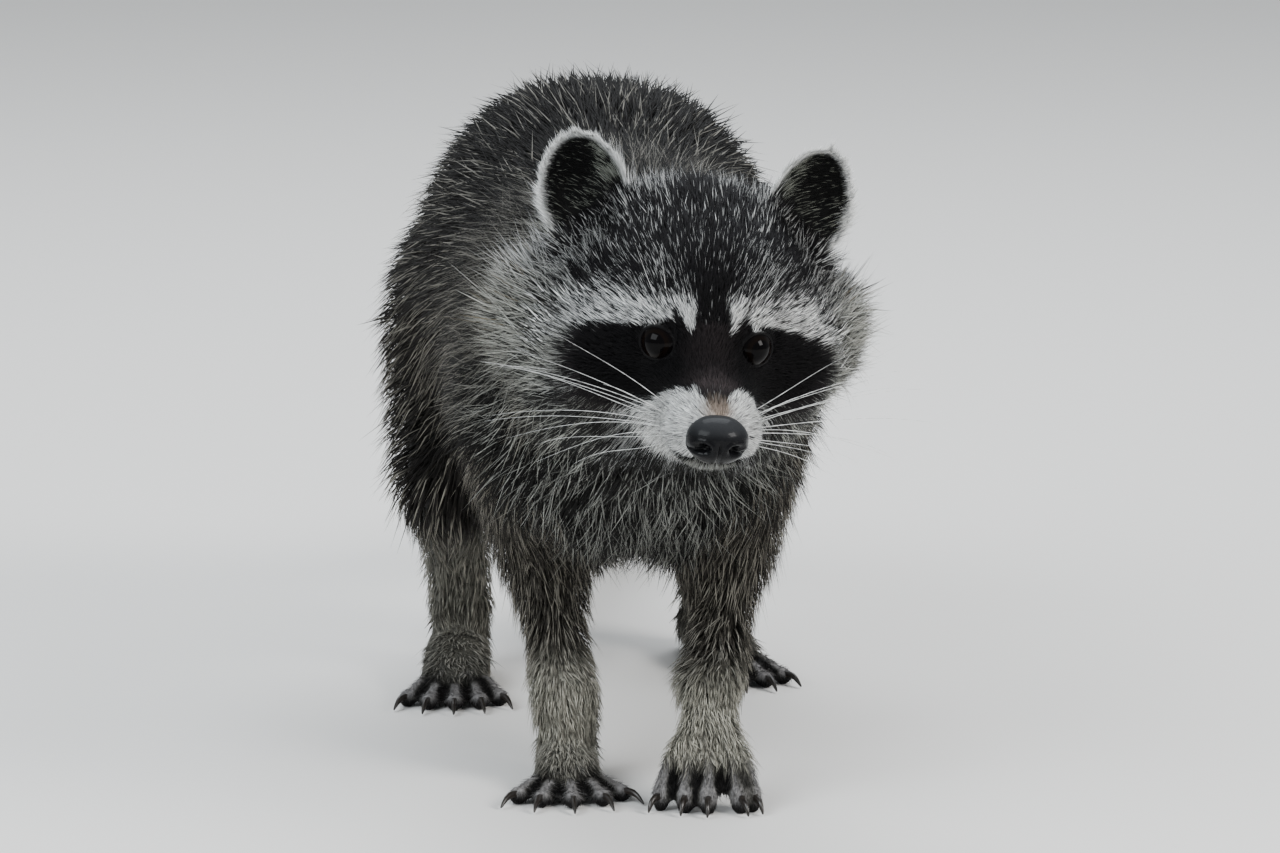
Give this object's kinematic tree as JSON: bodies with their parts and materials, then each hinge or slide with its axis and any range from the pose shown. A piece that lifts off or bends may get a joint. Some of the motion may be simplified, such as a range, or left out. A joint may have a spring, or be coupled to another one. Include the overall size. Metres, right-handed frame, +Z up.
{
  "type": "raccoon",
  "caption": "Life-size standing raccoon with a broad masked face, cupped ears, a fore hand reaching down and a bushy ringed tail.",
  "frame": {"origin": "centre of the bottom of the bounding box, on the floor", "axes": "-Y the way the animal faces, +X its left side, +Z up"},
  "size_m": [0.195, 0.749, 0.2906],
  "materials": {
    "coat_body": "matt fur",
    "coat_head": "matt fur",
    "coat_tail": "matt fur",
    "paw_skin": "satin",
    "nose_leather": "wet gloss",
    "eye_gloss": "wet gloss",
    "claw_horn": "satin horn"
  },
  "bodies": {
    "root": {"claw_forepaw_left_1": "claw_horn", "claw_forepaw_left_2": "claw_horn", "claw_forepaw_left_3": "claw_horn", "claw_forepaw_left_4": "claw_horn", "claw_forepaw_left_5": "claw_horn", "claw_forepaw_right_1": "claw_horn", "claw_forepaw_right_2": "claw_horn", "claw_forepaw_right_3": "claw_horn", "claw_forepaw_right_4": "claw_horn", "claw_forepaw_right_5": "claw_horn", "claw_hindpaw_left_1": "claw_horn", "claw_hindpaw_left_2": "claw_horn", "claw_hindpaw_left_3": "claw_horn", "claw_hindpaw_left_4": "claw_horn", "claw_hindpaw_left_5": "claw_horn", "claw_hindpaw_right_1": "claw_horn", "claw_hindpaw_right_2": "claw_horn", "claw_hindpaw_right_3": "claw_horn", "claw_hindpaw_right_4": "claw_horn", "claw_hindpaw_right_5": "claw_horn", "ear_left": "coat_head", "ear_right": "coat_head", "eye_left": "eye_gloss", "eye_right": "eye_gloss", "forearm_left": "coat_body", "forearm_right": "coat_body", "forepaw_left": "paw_skin", "forepaw_right": "paw_skin", "head": "coat_head", "hindpaw_left": "paw_skin", "hindpaw_right": "paw_skin", "lower_jaw": "coat_head", "neck": "coat_body", "nose": "nose_leather", "shank_left": "coat_body", "shank_right": "coat_body", "tail": "coat_tail", "thigh_left": "coat_body", "thigh_right": "coat_body", "trunk": "coat_body", "upper_arm_left": "coat_body", "upper_arm_right": "coat_body"}
  },
  "joints": []
}
